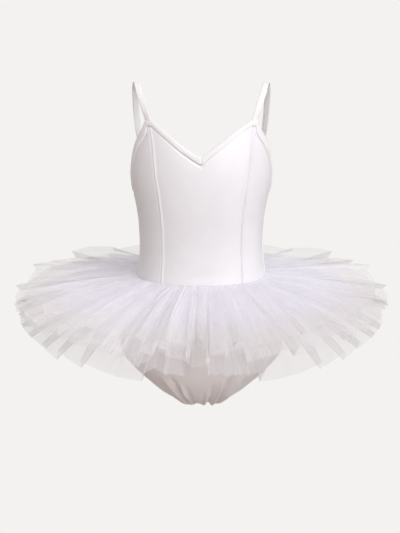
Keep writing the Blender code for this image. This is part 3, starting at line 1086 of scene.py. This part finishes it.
def netPlace(layer, turn, share, lift, reachOut, sag):
    upper = briefFront if math.cos(turn) > 0 else briefBack
    down = (1.0 - layer["heading"]) / (upper["height"][0] - upper["height"][1])
    halfWidth = upper["edgeX"][0] + down * (upper["edgeX"][1] - upper["edgeX"][0])
    depth = upper["depth"][0] + down * (upper["depth"][1] - upper["depth"][0])
    reach = oval(turn, halfWidth, depth) + 0.6
    x, y = math.sin(turn), -math.cos(turn)
    outX, outY = x / halfWidth**2, y / depth**2
    size = math.hypot(outX, outY)
    drops = layer["front"] if y < 0 else layer["back"]
    drop = layer["side"] + (drops - layer["side"]) * y * y
    run = layer["length"] * (1 - 0.5 * (drop / layer["length"]) ** 2) + reachOut
    return Vector((
        reach * x + share * run * outX / size,
        reach * y + share * run * outY / size,
        waist + layer["heading"] - drop * share**sag + lift,
    ))


def hemTurns(layer):
    fine = 1440
    turns = [-math.pi + 2 * math.pi * k / fine for k in range(fine + 1)]
    return turns, runsAlong([netPlace(layer, turn, 1.0, 0.0, 0.0, 1.0) for turn in turns])


def layPleats(placed, total, chance):
    waiting = []
    for inner, outer, *shape in placed:
        low, high = sorted((inner + total / 2, outer + total / 2))
        waiting.append((low, high, 1 if outer > inner else -1, *shape))
    waiting.sort()
    narrow, wide = pleats["narrow"], pleats["wide"]
    row, at = [], 0.0
    while at < total - 0.01:
        if waiting and waiting[0][0] - at < 0.01:
            low, high, lean, lift, reachOut, tall, *more = waiting.pop(0)
            width = high - at
            full = pleats["wideFullness"] if width > wide else chance.uniform(*pleats["fullness"])
            usual = (chance.uniform(*pleats["belly"]) * width / 30, 0.0, full)
            belly, skew, full = (*more, *usual[len(more):])
        else:
            room = (waiting[0][0] if waiting else total) - at
            width = narrow + (wide - narrow) * chance.random() ** pleats["narrowBias"]
            if room - width < narrow:
                width = room
            full = chance.uniform(*pleats["fullness"])
            for ends in (pleats["sides"], pleats["behind"]):
                full -= pleats["slackDrop"] * smoothStep(*ends, abs(at - total / 2))
            lean = 1 if at > total / 2 else -1
            lift = chance.gauss(0, 1) * pleats["stepUp"]
            least, most = pleats["stepOutMost"]
            reachOut = max(least, min(most, chance.gauss(0, 1) * pleats["stepOut"]))
            tall = chance.uniform(*pleats["tallness"])
            skew = chance.uniform(*pleats["skew"])
            belly = chance.uniform(*pleats["belly"]) * width / 30
        cloth = width * full
        face = (cloth + width) / 2  # what lies on top, as against what is folded under it
        row.append(dict(start=at, width=width, cloth=cloth, face=face, lean=lean, lift=lift))
        row[-1].update(reach=reachOut, skew=skew, height=tall, belly=belly)
        at += width
    return row


def pleatCorners(row, total, share, seed):
    local = pleats["drawnIn"] + (1 - pleats["drawnIn"]) * share
    ring, room = pleats["ringHeight"], pleats["backToBack"]
    height = ring + (pleats["hemHeight"] - ring) * smoothStep(0, 0.95, share)
    corners = []
    for index, pleat in enumerate(row):
        lean, cloth, reachOut = pleat["lean"], pleat["cloth"], pleat["reach"]
        inner, outer = pleat["start"], pleat["start"] + pleat["width"]
        width = pleat["width"] * local
        spare = cloth**2 - width**2
        most = pleats["tallest"] * spare / cloth
        tall = max(-most, min(height * pleat["height"], most))
        over = (cloth * math.sqrt(1 - 4 * tall * tall / spare) - width) / 2 / local
        if lean < 0:
            inner, outer = outer, inner
        if row[(index + lean) % len(row)]["lean"] != lean:  # two folds that meet back to back
            over = -room
        if row[(index - lean) % len(row)]["lean"] != lean:
            inner += room * lean
        drift = slowly(pleats["drift"], inner, seed, 2.0) * (1 - share)
        lift = slowly(pleats["swell"], inner, seed, 7.0) * share**1.4 + pleat["lift"] * share**1.5
        valley = (inner + drift, lift - tall / 2, reachOut * share)
        ridge = (outer + lean * over + drift, lift + tall / 2, (reachOut + pleat["skew"]) * share)
        corners += [valley, ridge] if lean > 0 else [ridge, valley]
    arc, lift, reachOut = corners[0]
    return corners + [(arc + total, lift, reachOut)]


def netColumns(row):  # for each: the corner before it, share of the way on, cloth run, way to a fold
    columns, run = [], 0.0
    for index, pleat in enumerate(row):
        ahead = row[(index + 1) % len(row)]
        folded = pleat if pleat["lean"] > 0 else ahead
        under = 1.0 if ahead["lean"] != pleat["lean"] else folded["cloth"] - folded["face"]
        for corner, length in ((2 * index, pleat["face"]), (2 * index + 1, under)):
            cuts = max(2, round(length / pleats["cut"])) if length > 1 else 1
            for cut in range(cuts):
                columns.append((corner, cut / cuts, run, min(cut, cuts - cut) * length / cuts))
                run += length / cuts
    return columns, run


def creaseFolds(mesh, columns):  # a hard crease wherever a column lies on a fold
    mesh.shade_smooth()
    for edge in mesh.edges:
        first, second = (vertex % len(columns) for vertex in edge.vertices)
        if first == second and columns[first][1] == 0:
            edge.use_edge_sharp = True


def makeNetLayer(number, layer, placed):
    seed = layer["seed"]
    turns, arcs = hemTurns(layer)
    row = layPleats(placed, arcs[-1], random.Random(seed))
    columns, run = netColumns(row)
    shares = [(i / pleats["rows"]) ** pleats["rowGrowth"] for i in range(pleats["rows"] + 1)]
    rows = []
    for share in shares:
        corners = pleatCorners(row, arcs[-1], share, seed)
        rippling = smoothStep(0, 0.08, share) - 0.75 * smoothStep(0.3, 0.85, share)
        points = []
        for corner, along, laid, _ in columns:
            arc, lift, reachOut = (a + (b - a) * along for a, b in zip(corners[corner], corners[corner + 1]))
            if corner % 2 == 0:
                lift += row[corner // 2]["belly"] * share * math.sin(math.pi * along)
            lift += rippling * slowly(pleats["ripple"], laid, share * 1.2, seed + 0.5)
            lift += share * slowly(pleats["flutter"], arc, share * 7, seed + 2.5)
            sag = pleats["sag"] + slowly(pleats["sagChange"], arc, seed, 4.0)
            turn = lookUp(arcs, turns, arc)
            points.append(netPlace(layer, turn, share, lift, reachOut / max(share, 0.05), sag))
        rows.append(points)
    runs = [column[2] for column in columns] + [run]
    downs = [share * layer["length"] for share in shares]
    faces, uvs = gridFaces(
        len(rows), len(columns), lambda strip, row, column: (runs[column], downs[row]), True
    )
    name = f"netLayer{number}"
    piece = newPiece(name, rows, faces, uvs, lowestShadedNet if number == len(netLayers) else netCloth)
    fold = [mm * column[3] for column in columns] * len(rows)
    piece.data.attributes.new("fold", "FLOAT", "POINT").data.foreach_set("value", fold)
    creaseFolds(piece.data, columns)
    standFor(piece, f"net_layer_{number}")
    print(name, len(row), "pleats,", len(faces), "faces")


for number, (layer, placed) in enumerate(zip(netLayers, openFolds), 1):
    makeNetLayer(number, layer, placed)
print("net layers made")


# Stitches

stitch = {
    "length": 2.0,
    "gap": 0.9,
    "thread": 0.2,
    "bandPlace": (6.9, 0.86),  # down from the edge of a binding, and out from the form
    "hemTop": -396,  # the leg hems are sewn below this
    "hemMiddle": (0.0, 0.0, -430.0),  # the stitches face away from it
    "sortWay": (1.0, 0.37, 0.11),  # no two corners or faces of a stitch lie level along it
}


def makeStitchShape():
    bpy.ops.object.select_all(action="DESELECT")
    bpy.ops.mesh.primitive_uv_sphere_add(segments=6, ring_count=5, radius=1.0)
    shape = bpy.context.object
    bpy.ops.object.mode_set(mode="EDIT")
    bpy.ops.transform.rotate(value=math.radians(90), orient_axis="Y", center_override=(0, 0, 0))
    bpy.ops.object.mode_set(mode="OBJECT")
    shape.scale = (stitch["length"] / 2 * mm, stitch["thread"] * mm, stitch["thread"] * mm)
    bpy.ops.object.transform_apply(location=True, rotation=True, scale=True)
    way = Vector(stitch["sortWay"])  # a new sphere has its faces in another order each time
    work = bmesh.new()
    work.from_mesh(shape.data)
    work.verts.sort(key=lambda vertex: vertex.co.dot(way))
    work.faces.sort(key=lambda face: face.calc_center_median().dot(way))
    work.to_mesh(shape.data)
    work.free()
    return shape


def sewLines(name, lines):
    shape = makeStitchShape()
    work = bmesh.new()
    for line in lines:
        along, target = 0.0, stitch["gap"]
        for (here, out), (beyond, _) in zip(line, line[1:]):
            step = (beyond - here).length
            while target <= along + step and step > 0:
                place = here.lerp(beyond, (target - along) / step)
                run = (beyond - here).normalized()
                side = out.cross(run).normalized()
                turn = Matrix((run, side, run.cross(side))).transposed().to_4x4()
                copied = shape.data.copy()
                copied.transform(Matrix.Translation(place * mm) @ turn)
                work.from_mesh(copied)
                bpy.data.meshes.remove(copied)
                target += stitch["length"] + stitch["gap"]
            along += step
    mesh = bpy.data.meshes.new(name)
    work.to_mesh(mesh)
    work.free()
    mesh.materials.append(stitchThread)
    mesh.shade_smooth()
    piece = bpy.data.objects.new(name, mesh)
    scene.collection.objects.link(piece)
    bpy.data.objects.remove(shape)
    standFor(piece, None)
    print(name, len(mesh.polygons), "faces")


def bandLine(first, last):
    line = []
    down, proud = stitch["bandPlace"]
    for lane in lanesBetween(first, last, 1.5):
        point = onForm(lane, insideEdge(lane, down), proud)
        line.append((point, Vector((point.x, point.y, 0)).normalized()))
    return line


def hemLine(rows, side):
    depth, line = brief["stitchLine"], []
    for row in rows:
        ordered = row if side < 0 else row[::-1]
        runs = runsAlong(ordered)
        k = bisect.bisect_left(runs, depth)
        place = ordered[k - 1].lerp(ordered[k], (depth - runs[k - 1]) / (runs[k] - runs[k - 1]))
        if place.z <= stitch["hemTop"]:
            line.append((place, (place - Vector(stitch["hemMiddle"])).normalized()))
    return line


bandEnds = (
    (0.02, 0.99), (-0.99, -0.02), (1.03, backCorner - 0.03), (-backCorner + 0.03, -1.03),
    (backCorner + 0.03, 8 - backCorner - 0.03),
)
legHems = [hemLine(rows, side) for rows in (frontRows, backRows) for side in (-1, 1)]
sewLines("bindingStitches", [bandLine(first, last) for first, last in bandEnds])
sewLines("legHemStitches", legHems)
print("stitches sewn")
